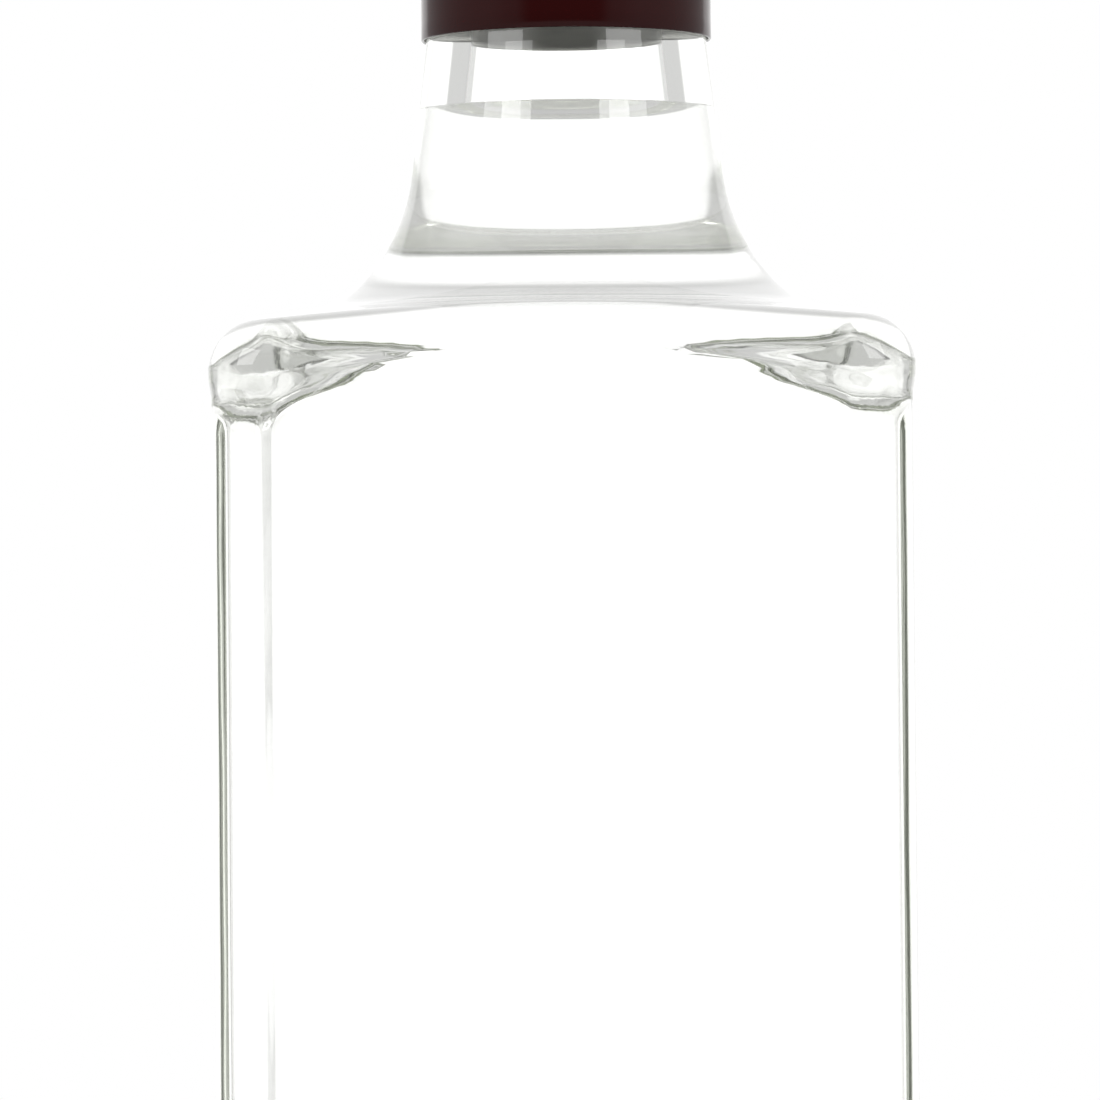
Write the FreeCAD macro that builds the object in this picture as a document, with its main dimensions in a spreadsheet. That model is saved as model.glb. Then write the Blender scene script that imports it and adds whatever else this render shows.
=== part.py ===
"""A square rum bottle: clear glass, filled up into the neck, with a long aluminium screw cap.

Millimetres, Z up. The origin is the middle of the base, where the bottle stands, and the front faces -Y.
The glass, the space inside it and the rum share one way of being made: a rounded square column is
trimmed by a turned form, which has the domed shoulder, the flare and the neck.
"""
import FreeCAD
import Part
import math
import os
import Sketcher
from FreeCAD import Vector

SIZES = [
    # the glass body
    ("body_width", 70.6, "across the flats, at the shoulder and heel bands"),
    ("body_height", 182.0, "base to the top of the shoulder above the middle of a side"),
    ("corner_radius", 6.6, "rounding of the four upright corners"),
    ("shoulder_slope", 7.9, "fall of the shoulder towards its edge, degrees"),
    ("shoulder_round", 6.0, "rounding of the shoulder's edge"),
    ("heel_round", 4.5, "rounding of the base's edge"),
    ("panel_recess", 0.35, "how far the flat panels lie behind the bands"),
    ("shoulder_band", 7.0, "height of the band under the shoulder"),
    ("heel_band", 9.0, "height of the band above the base"),
    ("band_blend", 3.0, "height over which a band runs into the panel"),
    ("punt_depth", 3.0, "rise of the hollow under the base"),
    ("punt_radius", 25.0, "radius of the hollow under the base"),
    # the walls
    ("side_wall", 3.3, "glass of the sides, at the bands"),
    ("shoulder_wall", 4.0, "glass of the shoulder"),
    ("base_wall", 9.2, "glass of the base at its edge"),
    ("inner_corner", 6.0, "rounding of the upright corners inside"),
    ("ceiling_round", 4.0, "rounding under the shoulder's edge inside"),
    ("floor_round", 4.0, "rounding round the floor inside"),
    # the flare and the neck
    ("rim_rise", 29.3, "shoulder to the lower rim of the cap"),
    ("neck_radius", 14.5, "outside of the neck at the cap's rim"),
    ("neck_draft", 6.7, "slope of the neck, degrees"),
    ("throat_rise", 15.5, "shoulder to where the neck starts to flare"),
    ("throat_radius", 19.4, "upper arc of the flare"),
    ("foot_radius", 11.9, "lower arc of the flare"),
    ("bore_radius", 9.8, "inside of the neck at the cap's rim"),
    ("bore_draft", 6.7, "slope of the bore below the cap, degrees"),
    ("inner_throat_rise", 14.5, "shoulder to where the bore starts to flare"),
    ("inner_throat_radius", 23.0, "upper arc of the flare inside"),
    ("inner_foot_radius", 14.0, "lower arc of the flare inside"),
    ("collar_rise", 5.0, "how far the neck runs on inside the cap"),
    ("finish_radius", 12.6, "outside of the mouth above the collar"),
    # the rum
    ("fill_rise", 22.0, "shoulder to the level of the rum"),
    ("rum_clearance", 0.1, "gap between the rum's solid and the glass"),
    # the cap
    ("cap_height", 44.0, "lower rim to the top of the cap"),
    ("cap_wall", 0.4, "metal of the skirt"),
    ("cap_top", 0.6, "metal of the top"),
    ("cap_gap", 0.1, "gap between the skirt and the neck at the rim"),
    ("cap_round", 1.4, "rounding of the cap's upper edge"),
    ("break_rise", 17.0, "rim to the line where the cap breaks open"),
    ("break_width", 0.6, "height of the break line's groove"),
    ("bead_rise", 20.5, "rim to the middle of the raised bead"),
    ("bead_radius", 0.9, "half the height of the bead"),
    ("bead_proud", 0.25, "how far the bead stands out"),
    ("groove_depth", 0.15, "depth of the break line's groove"),
    ("knurl_count", 72, "upright flutes round the cap"),
    ("knurl_radius", 0.45, "radius of one flute"),
    ("knurl_depth", 0.16, "depth of one flute"),
    ("knurl_height", 9.0, "length of the flutes"),
    ("knurl_drop", 3.0, "top of the cap down to the flutes"),
]

RIM = "(Sizes.body_height + Sizes.rim_rise)"
CAP_RADIUS = "(Sizes.neck_radius + Sizes.cap_gap + Sizes.cap_wall)"
CAP_INSIDE = "(Sizes.neck_radius + Sizes.cap_gap)"
COLLAR = "(" + RIM + " + Sizes.collar_rise)"
MOUTH = "(" + RIM + " + Sizes.cap_height - Sizes.cap_top)"

EDGE_SEARCH = 3.0  # how far round an edge's nominal height its edges are looked for

document = FreeCAD.newDocument("rum_bottle")


def make_sheet():
    """The spreadsheet of driving sizes: name, value and what the value is."""
    sheet = document.addObject("Spreadsheet::Sheet", "Sizes")
    for row, (alias, value, meaning) in enumerate(SIZES, start=1):
        sheet.set("A%d" % row, alias)
        sheet.set("B%d" % row, str(value))
        sheet.set("C%d" % row, meaning)
        sheet.setAlias("B%d" % row, alias)
    document.recompute()
    return sheet


def new_body(name):
    """A PartDesign body with its own label."""
    body = document.addObject("PartDesign::Body", name)
    body.Label = name
    return body


def origin_feature(body, role):
    """One of the body's own base planes or axes."""
    for feature in body.Origin.OriginFeatures:
        if feature.Role == role:
            return feature
    raise ValueError("no origin feature " + role)


def new_sketch(body, name, plane="XY_Plane", height=None):
    """A sketch on one of the body's base planes, raised to a height where one is given."""
    sketch = body.newObject("Sketcher::SketchObject", name)
    sketch.AttachmentSupport = (origin_feature(body, plane), "")
    sketch.MapMode = "FlatFace"
    if height is not None:
        sketch.setExpression("AttachmentOffset.Base.z", height)
    return sketch


def drive(sketch, name, expression, *constraint):
    """Adds one dimension to a sketch and ties it to the sheet."""
    index = sketch.addConstraint(Sketcher.Constraint(*constraint))
    sketch.renameConstraint(index, name)
    sketch.setExpression("Constraints." + name, expression)


def line(sketch, start, end):
    """Adds a straight line to a sketch."""
    return sketch.addGeometry(Part.LineSegment(Vector(*start, 0), Vector(*end, 0)), False)


def arc(sketch, centre, radius, start, end):
    """Adds an arc to a sketch, anticlockwise from one angle to the other, in degrees."""
    circle = Part.Circle(Vector(*centre, 0), Vector(0, 0, 1), radius)
    return sketch.addGeometry(Part.ArcOfCircle(circle, math.radians(start), math.radians(end)), False)


def tie(sketch, kind, *places):
    """Adds a constraint that has no size."""
    sketch.addConstraint(Sketcher.Constraint(kind, *places))


def rounded_square(body, name, width, corner, height):
    """A square with rounded corners about the Z axis, at a height."""
    sketch = new_sketch(body, name, "XY_Plane", height)
    half, rounding = 30.0, 5.0
    flat = half - rounding
    for turn in range(4):
        angle = math.radians(90 * turn)
        cosine, sine = round(math.cos(angle)), round(math.sin(angle))
        start = (half * cosine + flat * sine, half * sine - flat * cosine)
        end = (half * cosine - flat * sine, half * sine + flat * cosine)
        line(sketch, start, end)
        centre = (flat * (cosine - sine), flat * (sine + cosine))
        arc(sketch, centre, rounding, 90 * turn, 90 * turn + 90)
    for turn in range(4):
        side, bend, following = 2 * turn, 2 * turn + 1, (2 * turn + 2) % 8
        tie(sketch, "Tangent", side, 2, bend, 1)
        tie(sketch, "Tangent", bend, 2, following, 1)
        tie(sketch, "Vertical" if turn % 2 == 0 else "Horizontal", side)
        if turn:
            tie(sketch, "Equal", 1, bend)
    drive(sketch, "corner", corner, "Radius", 1, rounding)
    for label, kind, first, second in (
        ("right", "DistanceX", (-1, 1), (0, 1)),
        ("back", "DistanceY", (-1, 1), (2, 1)),
        ("left", "DistanceX", (4, 1), (-1, 1)),
        ("front", "DistanceY", (6, 1), (-1, 1)),
    ):
        drive(sketch, label, width + " / 2", kind, *first, *second, half)
    return sketch


def turned_form(name, form, rough):
    """The turned form that trims a column: neck, flare and a shoulder that falls towards its edge.

    form holds the expressions of its sizes, where side is the height of the shoulder line above the
    middle of a side. rough holds the numbers that the sketch starts from before its sizes settle it.
    """
    body = new_body(name)
    sketch = new_sketch(body, name + "_profile", "XZ_Plane")
    neck, upper, lower = rough["neck"], rough["throat_radius"], rough["foot_radius"]
    top, side, bottom, far = rough["top"], rough["side"], rough["bottom"], rough["reach"]
    turn = math.radians(42)
    start = (neck + 1.5, side + 15.0)
    upper_centre = (start[0] + upper, start[1] + 1.0)
    joint = (upper_centre[0] - upper * math.cos(turn), upper_centre[1] - upper * math.sin(turn))
    lower_centre = (joint[0] + lower * math.cos(turn), joint[1] + lower * math.sin(turn))
    foot = (lower_centre[0], lower_centre[1] - lower)
    edge = (far, side - 5.0)
    line(sketch, (0, bottom), (0, top))
    line(sketch, (0, top), (neck, top))
    line(sketch, (neck, top), start)
    arc(sketch, upper_centre, upper, 183, 222)
    arc(sketch, lower_centre, lower, 222, 262)
    line(sketch, foot, edge)
    line(sketch, edge, (far, bottom))
    line(sketch, (far, bottom), (0, bottom))
    tie(sketch, "Vertical", 0)
    tie(sketch, "Horizontal", 1)
    tie(sketch, "Vertical", 6)
    tie(sketch, "Horizontal", 7)
    for first, second in ((0, 1), (1, 2), (5, 6), (6, 7)):
        tie(sketch, "Coincident", first, 2, second, 1)
    tie(sketch, "Coincident", 7, 2, 0, 1)
    for first in (2, 3, 4):
        tie(sketch, "Tangent", first, 2, first + 1, 1)
    if form["bottom"] == "0":
        tie(sketch, "Coincident", 0, 1, -1, 1)
    else:
        tie(sketch, "PointOnObject", 0, 1, -2)
        drive(sketch, "bottom", form["bottom"], "DistanceY", -1, 1, 0, 1, bottom)
    slope = "(Sizes.shoulder_slope * 1 deg)"
    edge_height = form["side"] + " - Sizes.body_width / 2 * tan" + slope
    drive(sketch, "top", form["top"], "DistanceY", -1, 1, 0, 2, top)
    drive(sketch, "top_radius", form["top_radius"], "DistanceX", -1, 1, 1, 2, neck)
    drive(sketch, "draft", "(" + form["draft"] + " - 90) * 1 deg", "Angle", 2, math.radians(-84))
    drive(sketch, "throat", form["throat"], "DistanceY", -1, 1, 3, 1, start[1])
    drive(sketch, "throat_radius", form["throat_radius"], "Radius", 3, upper)
    drive(sketch, "foot_radius", form["foot_radius"], "Radius", 4, lower)
    drive(sketch, "slope", "-" + slope, "Angle", 5, math.radians(-8))
    drive(sketch, "reach", "Sizes.body_width", "DistanceX", -1, 1, 5, 2, far)
    drive(sketch, "edge", edge_height, "DistanceY", -1, 1, 5, 2, edge[1])
    turned = body.newObject("PartDesign::Revolution", name + "_turned")
    turned.Profile = sketch
    turned.ReferenceAxis = (sketch, ["V_Axis"])
    turned.Angle = 360.0
    document.recompute()
    return body


def column(name, sections):
    """A square column lofted straight from section to section: (width, corner, height) each."""
    body = new_body(name)
    sketches = []
    for number, (width, corner, height) in enumerate(sections):
        sketches.append(rounded_square(body, "%s_section_%d" % (name, number), width, corner, height))
    loft = body.newObject("PartDesign::AdditiveLoft", name + "_loft")
    loft.Profile = sketches[0]
    loft.Sections = sketches[1:]
    loft.Ruled = True
    document.recompute()
    return body


def trim(body, turned, name):
    """Keeps only what a column and a turned form have in common."""
    common = body.newObject("PartDesign::Boolean", name)
    common.Type = "Common"
    common.addObjects([turned])
    document.recompute()
    return common


def rim_edges(shape, low, high, reach):
    """The names of the edges that lie between two heights and far enough out from the axis."""
    names = []
    for number, edge in enumerate(shape.Edges, start=1):
        box = edge.BoundBox
        middle = edge.CenterOfMass
        if box.ZMin > low and box.ZMax < high and math.hypot(middle.x, middle.y) > reach:
            names.append("Edge%d" % number)
    return names


def round_edges(body, base, name, edges, radius):
    """Rounds the named edges of a feature."""
    fillet = body.newObject("PartDesign::Fillet", name)
    fillet.Base = (base, edges)
    fillet.setExpression("Radius", radius)
    document.recompute()
    return fillet


def vessel(name, sections, form, rough, rounded):
    """A square column trimmed by its turned form, with the edges of both its ends rounded.

    rounded lists, for each end: the feature's name, its height in the model and its radius.
    """
    body = column(name, sections)
    turned = turned_form(name + "_form", form, rough)
    feature = trim(body, turned, name + "_trimmed")
    for label, height, radius in rounded:
        edges = rim_edges(feature.Shape, height - EDGE_SEARCH, height + EDGE_SEARCH, rough["flat"])
        feature = round_edges(body, feature, name + "_" + label, edges, radius)
    return body


def cut(name, base, tool):
    """What is left of one solid when another is taken away."""
    result = document.addObject("Part::Cut", name)
    result.Base = base
    result.Tool = tool
    result.Label = name
    document.recompute()
    return result


def disc(body, name, radius, height):
    """A circle about the Z axis, at a height."""
    sketch = new_sketch(body, name, "XY_Plane", height)
    sketch.addGeometry(Part.Circle(Vector(0, 0, 0), Vector(0, 0, 1), 10), False)
    tie(sketch, "Coincident", 0, 3, -1, 1)
    drive(sketch, "radius", radius, "Radius", 0, 10)
    return sketch


def pad(body, name, sketch, length):
    """Raises a sketch upwards by a length."""
    feature = body.newObject("PartDesign::Pad", name)
    feature.Profile = sketch
    feature.setExpression("Length", length)
    document.recompute()
    return feature


def pocket(body, name, sketch, length):
    """Cuts a sketch upwards by a length, and checks that something was taken away."""
    before = body.Shape.Volume
    feature = body.newObject("PartDesign::Pocket", name)
    feature.Profile = sketch
    feature.Reversed = True
    feature.setExpression("Length", length)
    document.recompute()
    if body.Shape.Volume >= before:
        raise RuntimeError(name + " cut nothing")
    return feature


def make_outside(size):
    """The outside of the glass: banded body, domed shoulder, flare, neck and mouth."""
    wide = ("Sizes.body_width", "Sizes.corner_radius")
    narrow = ("(Sizes.body_width - 2 * Sizes.panel_recess)", "Sizes.corner_radius - Sizes.panel_recess")
    band = "Sizes.body_height - Sizes.shoulder_band"
    sections = [
        (*wide, "0"),
        (*wide, "Sizes.heel_band"),
        (*narrow, "Sizes.heel_band + Sizes.band_blend"),
        (*narrow, band + " - Sizes.band_blend"),
        (*wide, band),
        (*wide, MOUTH),
    ]
    form = {
        "top": COLLAR,
        "top_radius": "Sizes.neck_radius - Sizes.collar_rise * tan(Sizes.neck_draft * 1 deg)",
        "draft": "Sizes.neck_draft",
        "throat": "Sizes.body_height + Sizes.throat_rise",
        "throat_radius": "Sizes.throat_radius",
        "foot_radius": "Sizes.foot_radius",
        "side": "Sizes.body_height",
        "bottom": "0",
    }
    rough = rough_form(size, size["neck_radius"], size["throat_radius"], size["foot_radius"])
    rounded = (
        ("shoulder_edge", size["body_height"], "Sizes.shoulder_round"),
        ("heel_edge", 0.0, "Sizes.heel_round"),
    )
    body = vessel("glass_outside", sections, form, rough, rounded)
    finish = disc(body, "finish_circle", "Sizes.finish_radius", COLLAR)
    pad(body, "finish", finish, MOUTH + " - " + COLLAR)
    return body


def make_inside(name, size, gap, top):
    """The space inside the glass, or the rum that fills it up to a level, smaller by a gap."""
    width = "(Sizes.body_width - 2 * Sizes.side_wall - 2 * " + gap + ")"
    corner = "(Sizes.inner_corner - " + gap + ")"
    floor = "(Sizes.base_wall + " + gap + ")"
    form = {
        "top": top,
        "top_radius": "Sizes.bore_radius - " + gap + " + (" + RIM + " - " + top + ")"
                      " * tan(Sizes.bore_draft * 1 deg)",
        "draft": "Sizes.bore_draft",
        "throat": "Sizes.body_height + Sizes.inner_throat_rise",
        "throat_radius": "(Sizes.inner_throat_radius + " + gap + ")",
        "foot_radius": "(Sizes.inner_foot_radius + " + gap + ")",
        "side": "Sizes.body_height - Sizes.shoulder_wall - " + gap,
        "bottom": floor,
    }
    rough = rough_form(size, size["bore_radius"], size["inner_throat_radius"], size["inner_foot_radius"])
    rough["bottom"] = size["base_wall"]
    rough["side"] = size["body_height"] - size["shoulder_wall"]
    rough["flat"] -= size["side_wall"]
    rounded = (
        ("ceiling_edge", rough["side"], "Sizes.ceiling_round - " + gap),
        ("floor_edge", rough["bottom"], "Sizes.floor_round - " + gap),
    )
    return vessel(name, [(width, corner, floor), (width, corner, top)], form, rough, rounded)


def rough_form(size, neck, throat_radius, foot_radius):
    """Rough numbers for a turned form's sketch, from the sheet's values."""
    return {
        "neck": neck,
        "throat_radius": throat_radius,
        "foot_radius": foot_radius,
        "top": size["body_height"] + size["rim_rise"],
        "side": size["body_height"],
        "bottom": 0.0,
        "reach": size["body_width"],
        "flat": size["body_width"] / 2 - EDGE_SEARCH,
    }


def make_glass(size):
    """The bottle: its outside, less the space inside and the hollow under the base.

    The bore follows the neck's slope up to the cap's rim and is straight above it.
    """
    outside = make_outside(size)
    space = make_inside("glass_inside", size, "0", RIM)
    bore = disc(space, "bore_circle", "Sizes.bore_radius", RIM)
    pad(space, "bore", bore, MOUTH + " - " + RIM + " + 1")
    hollow = cut("glass_hollowed", outside, space)
    ball = document.addObject("Part::Sphere", "punt_ball")
    ball_radius = "((Sizes.punt_radius ^ 2 + Sizes.punt_depth ^ 2) / (2 * Sizes.punt_depth))"
    ball.setExpression("Radius", ball_radius)
    ball.setExpression("Placement.Base.z", "Sizes.punt_depth - " + ball_radius)
    return cut("bottle_glass", hollow, ball)


def make_rum(size):
    """The rum, up to its level in the neck."""
    return make_inside("rum", size, "Sizes.rum_clearance", "(Sizes.body_height + Sizes.fill_rise)")


def make_cap():
    """The screw cap: a long skirt with a break line and a bead, and a fluted grip under its top."""
    body = new_body("screw_cap")
    outline = disc(body, "cap_outline", CAP_RADIUS, RIM)
    blank = pad(body, "cap_blank", outline, "Sizes.cap_height")
    top = rim_edges(blank.Shape, blank.Shape.BoundBox.ZMax - 1, blank.Shape.BoundBox.ZMax + 1, -1)
    round_edges(body, blank, "cap_top_edge", top, "Sizes.cap_round")
    bead = body.newObject("PartDesign::AdditiveTorus", "cap_bead")
    bead.setExpression("Radius1", CAP_RADIUS + " + Sizes.bead_proud - Sizes.bead_radius")
    bead.setExpression("Radius2", "Sizes.bead_radius")
    bead.setExpression("AttachmentOffset.Base.z", RIM + " + Sizes.bead_rise")
    bead.AttachmentSupport = (origin_feature(body, "XY_Plane"), "")
    bead.MapMode = "FlatFace"
    document.recompute()
    ring = disc(body, "break_ring", CAP_RADIUS + " + 1", RIM + " + Sizes.break_rise")
    ring.addGeometry(Part.Circle(Vector(0, 0, 0), Vector(0, 0, 1), 9), False)
    tie(ring, "Coincident", 1, 3, -1, 1)
    drive(ring, "inner", CAP_RADIUS + " - Sizes.groove_depth", "Radius", 1, 9)
    pocket(body, "break_line", ring, "Sizes.break_width")
    flute = new_sketch(body, "flute_circle", "XY_Plane",
                       RIM + " + Sizes.cap_height - Sizes.knurl_drop - Sizes.knurl_height")
    flute.addGeometry(Part.Circle(Vector(15, 0, 0), Vector(0, 0, 1), 0.5), False)
    tie(flute, "PointOnObject", 0, 3, -1)
    drive(flute, "radius", "Sizes.knurl_radius", "Radius", 0, 0.5)
    drive(flute, "out", CAP_RADIUS + " + Sizes.knurl_radius - Sizes.knurl_depth",
          "DistanceX", -1, 1, 0, 3, 15)
    first = pocket(body, "flute", flute, "Sizes.knurl_height")
    ring_of_flutes = body.newObject("PartDesign::PolarPattern", "flutes")
    ring_of_flutes.Originals = [first]
    ring_of_flutes.Axis = (flute, ["N_Axis"])
    ring_of_flutes.Angle = 360
    ring_of_flutes.setExpression("Occurrences", "Sizes.knurl_count")
    body.Tip = ring_of_flutes
    document.recompute()
    inside = disc(body, "cap_inside", CAP_INSIDE, RIM)
    pocket(body, "cap_hollow", inside, "Sizes.cap_height - Sizes.cap_top")
    return body


def check(parts):
    """Stops if any object failed, or if a sub-part has no sound solid."""
    for item in document.Objects:
        if "Invalid" in item.State or "Error" in item.State:
            raise RuntimeError(item.Name + " failed: " + str(item.State))
    for part in parts:
        if part.Shape.isNull() or not part.Shape.isValid() or len(part.Shape.Solids) != 1:
            raise RuntimeError(part.Label + " is not one sound solid")


def main():
    """Builds every sub-part and writes each to its own file."""
    sheet = make_sheet()
    size = {alias: sheet.get(alias) for alias, value, meaning in SIZES}
    parts = [make_glass(size), make_rum(size), make_cap()]
    document.recompute()
    check(parts)
    os.makedirs("parts", exist_ok=True)
    for part in parts:
        part.Shape.exportStep("parts/" + part.Label + ".step")
        print(part.Label, round(part.Shape.Volume / 1000, 2), "ml")


main()
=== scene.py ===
"""The look of a filled rum bottle: clear flint glass, white rum and a burgundy aluminium screw cap."""
import math

import bpy
from mathutils import Matrix, Vector, noise


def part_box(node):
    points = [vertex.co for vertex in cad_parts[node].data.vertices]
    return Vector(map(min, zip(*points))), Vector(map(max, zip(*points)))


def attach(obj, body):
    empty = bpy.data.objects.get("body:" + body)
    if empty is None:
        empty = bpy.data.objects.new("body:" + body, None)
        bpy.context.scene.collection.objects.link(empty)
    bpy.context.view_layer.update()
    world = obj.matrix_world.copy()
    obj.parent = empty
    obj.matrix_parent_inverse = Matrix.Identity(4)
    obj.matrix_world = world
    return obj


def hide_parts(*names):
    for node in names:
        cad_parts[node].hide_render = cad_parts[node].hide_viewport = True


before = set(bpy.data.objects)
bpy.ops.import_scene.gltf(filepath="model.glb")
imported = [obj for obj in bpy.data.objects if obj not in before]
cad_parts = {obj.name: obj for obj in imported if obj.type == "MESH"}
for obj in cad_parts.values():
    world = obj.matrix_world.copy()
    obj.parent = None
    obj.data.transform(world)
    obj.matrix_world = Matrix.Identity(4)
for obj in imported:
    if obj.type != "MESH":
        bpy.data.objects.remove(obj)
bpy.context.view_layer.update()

bl_info = {
    "name": "Rum Bottle",
    "version": (1, 0, 0),
    "blender": (4, 5, 0),
    "location": "3D Viewport > Sidebar > Bottle",
    "description": "Builds a filled square rum bottle with its screw cap, and a plain studio round it",
    "category": "Object",
}

GLASS_BOUNCES = 40          # light runs a long way inside thick glass walls before it leaves them

# Points round each ring of the meshes
FLAT_STEPS = 34             # along one side of the bottle
CORNER_STEPS = 14           # round one of its corners
CAP_AROUND = 432            # round the cap, six to a flute
FLOOR_AROUND = 96           # round the studio floor

# Small forms of the glass and the rum, in metres and shares
RIM_RISE = 0.0293           # from the shoulder above the middle of a side up to the cap's rim
CLEARANCE = 0.0001          # what the solids leave between the glass and the rum
LIP_ROUND = 0.0009          # rounding of the mouth's outer edge
MOUTH_ROUND = 0.0006        # rounding of the mouth's inner edge
COLLAR_EDGE = 0.0003        # bevel at the collar's upper edge and at the foot of the mouth
COLLAR_STEP = 0.0004        # height of the step from the collar to the mouth
FLOOR_DISH = 0.0016         # how far the floor inside rises in the middle
FLOOR_DISH_SHARE = 0.66     # how much of the floor that rise takes up
WANDER_LENGTH = 0.022       # distance over which the blown inner wall wanders in and out
WANDER_STRETCH = 0.45       # the same distance is longer up the wall, by this share
CLIMB_SHAPE = 1.15          # how squarely the rum's level turns up towards the glass
RING_CROWDING = 1.5         # crowds the level's rings towards the glass, where it turns
LEAST_CORNER = 0.0002       # smallest rounding that an inset square keeps
HEEL_SHARE = 0.09           # share of the side that holds the heel band
SHOULDER_SHARE = 0.915      # share of the side where the shoulder band starts
FOOT_SHARE = 0.94           # the flare's round rings start a little inside its foot

# Small forms of the cap, in metres and shares
RIM_ROUND = 0.0001          # rounding of the cut rim
RIM_CURL = 0.0002           # height of the cut rim inside
TOP_METAL = 0.0006          # sheet and lining of the cap's top
FLUTE_FADE = 0.0004         # height over which the flutes run out
FLUTE_SHAPE = 0.7           # below 1 the flutes are wide with narrow ridges
BREAK_DEPTH = 0.00016       # depth of the break line
BREAK_REACH = 1.6           # half the break line with its soft edge, in half widths
BREAK_SOFT = 0.6            # the soft edge alone, in half widths
BREAK_NEAR = 0.0005         # the sheet's rings crowd this far either side of the break line
BREAK_GAP = 0.0001          # first step of the wider rings beyond that
BRIDGE_SHARE = 0.1          # how much of the break line's wave the bridges take up
THREAD_ABOVE_BEAD = 0.0022  # from the bead up to the rolled thread
THREAD_BELOW_GRIP = 0.0010  # from the flutes down to the rolled thread
THREAD_HALF = 0.0007        # half the height of the thread's trough
THREAD_FADE = 0.0008        # height over which the thread runs out

# Real sizes of the patterns in the materials, in metres
GLASS_RIPPLE = 0.200 / 9    # slow waves of blown glass, nine of them up the body: 22 mm
ORANGE_PEEL = 0.010 / 9     # orange peel of stoved lacquer: 1.1 mm
ROLL_LINE = 0.0004          # rolling lines are finer than this, and are drawn coarser so that they show
ROLL_LENGTH = 0.050 / 3     # how far a rolling line runs before it fades: 17 mm
PAPER_GRAIN = 0.010 / 7     # paper's grain is finer than this 1.4 mm, and is drawn coarser so that it shows

WHITE = (1, 1, 1, 1)

# How strongly a path of one metre tints the light
GLASS_TINT = 9.0
RUM_TINT = 0.3

# The studio, in degrees and metres
TENT_BACK = (34, 39)        # turn from the back over which the backdrop gives way to the sides
TENT_SIDE = (115, 140)      # turn over which the sides grow dimmer
TENT_DIM = 0.7              # how bright the sides still are after that
TENT_FRONT = 153            # turn from which the dark front begins
TABLE_EDGE = (-29, -23)     # elevation over which the table gives way to the tent's walls
ROOF_EDGE = (35, 50)        # elevation over which the walls give way to the ceiling
FLOOR_RADIUS = 0.52
FLOOR_FADE = (0.26, 0.50)   # distance over which the floor fades out into the white
LAMP_PLACES = {"soft_lamp_left": (-1.1, -0.9, 1.0), "soft_lamp_right": (1.1, -0.9, 1.0)}
LAMP_SIZE = 0.9
LAMP_POWER = 9.0
LAMP_AIM = (0.0, 0.0, 0.12)

GLASS_LOW, GLASS_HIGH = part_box("bottle_glass")
RUM_LOW, RUM_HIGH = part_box("rum")
CAP_LOW, CAP_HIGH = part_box("screw_cap")


# ---------------------------------------------------------------- sizes and colours

def length(name, text, default):
    """A length in metres that the sidebar shows in scene units."""
    return bpy.props.FloatProperty(name=name, description=text, default=default, unit="LENGTH",
                                   precision=5, step=0.01)


def angle(name, text, degrees):
    """An angle, given in degrees."""
    return bpy.props.FloatProperty(name=name, description=text, default=math.radians(degrees),
                                   unit="ROTATION")


def colour(name, text, code):
    """A colour swatch, given as an sRGB hex value."""
    return bpy.props.FloatVectorProperty(name=name, description=text, default=linear(code)[:3], size=3,
                                         min=0, max=1, subtype="COLOR")


def brightness(name, text, default):
    """How bright a part of the studio is, where 1 is white."""
    return bpy.props.FloatProperty(name=name, description=text, default=default)


def linear(code):
    """A linear RGBA colour from an sRGB hex value such as 2E0A0D."""
    shares = [int(code[start:start + 2], 16) / 255 for start in (0, 2, 4)]
    return [c / 12.92 if c <= 0.04045 else ((c + 0.055) / 1.055) ** 2.4 for c in shares] + [1.0]


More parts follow.
